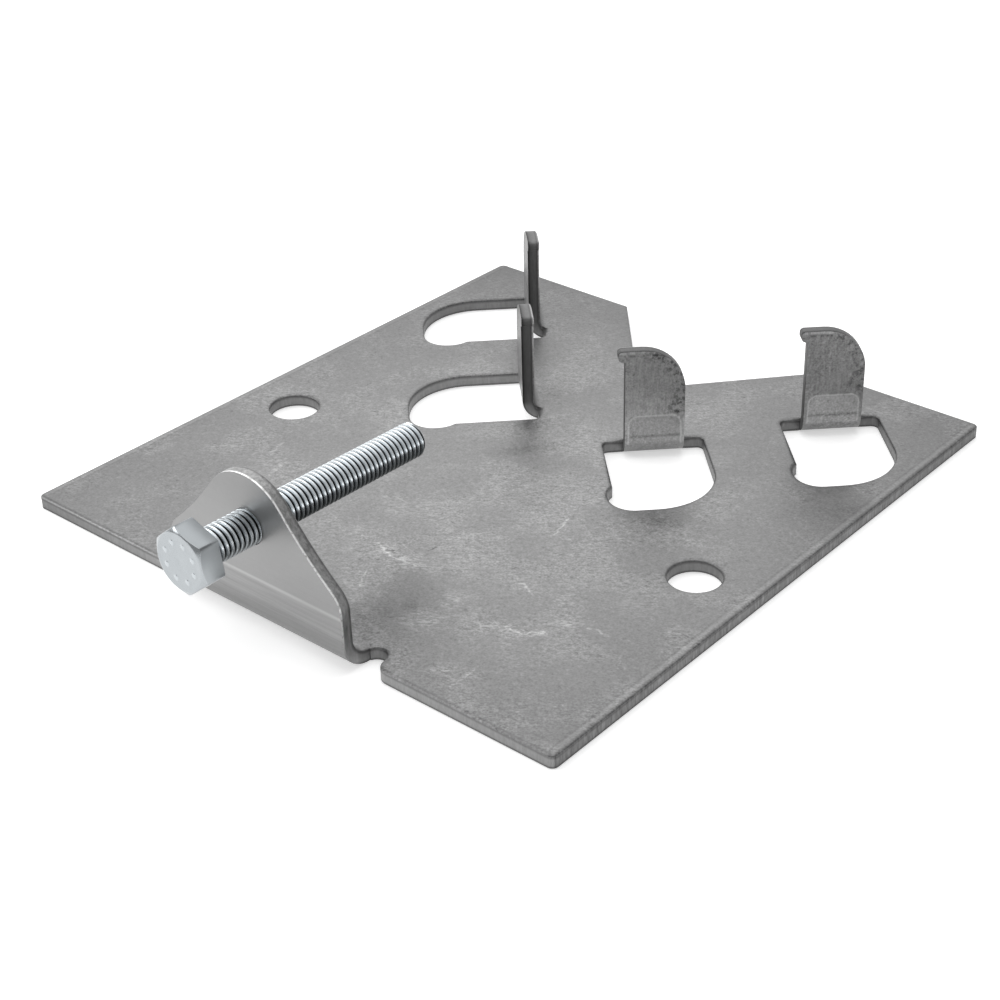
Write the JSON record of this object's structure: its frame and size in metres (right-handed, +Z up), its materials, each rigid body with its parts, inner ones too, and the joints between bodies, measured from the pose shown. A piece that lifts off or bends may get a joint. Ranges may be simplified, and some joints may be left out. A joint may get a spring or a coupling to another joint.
{
  "type": "clamping base plate",
  "caption": "Flat folded sheet steel base plate with upright lanced hooks, a front lug with a hexagon clamping screw, fixing holes and a V-notched rear edge.",
  "frame": {"origin": "centre of the plate's flat underside", "axes": "+Z up out of the plate's upper face, +Y from the lug's edge to the notched edge, +X to the right seen from the lug"},
  "size_m": [0.15, 0.1808, 0.0371],
  "materials": {
    "sheet_steel": "matt, bare hot-rolled sheet with fine scratches",
    "zinc_plate": "bright bluish zinc plating"
  },
  "bodies": {
    "plate": {"base_plate": "sheet_steel"},
    "screw": {"clamp_bolt": "zinc_plate"}
  },
  "joints": [
    {"name": "bolt_travel", "type": "slide", "parent": "plate", "child": "screw", "axis": [0, 0.9997, -0.0262], "range_m": [-0.044, 0.012]}
  ]
}
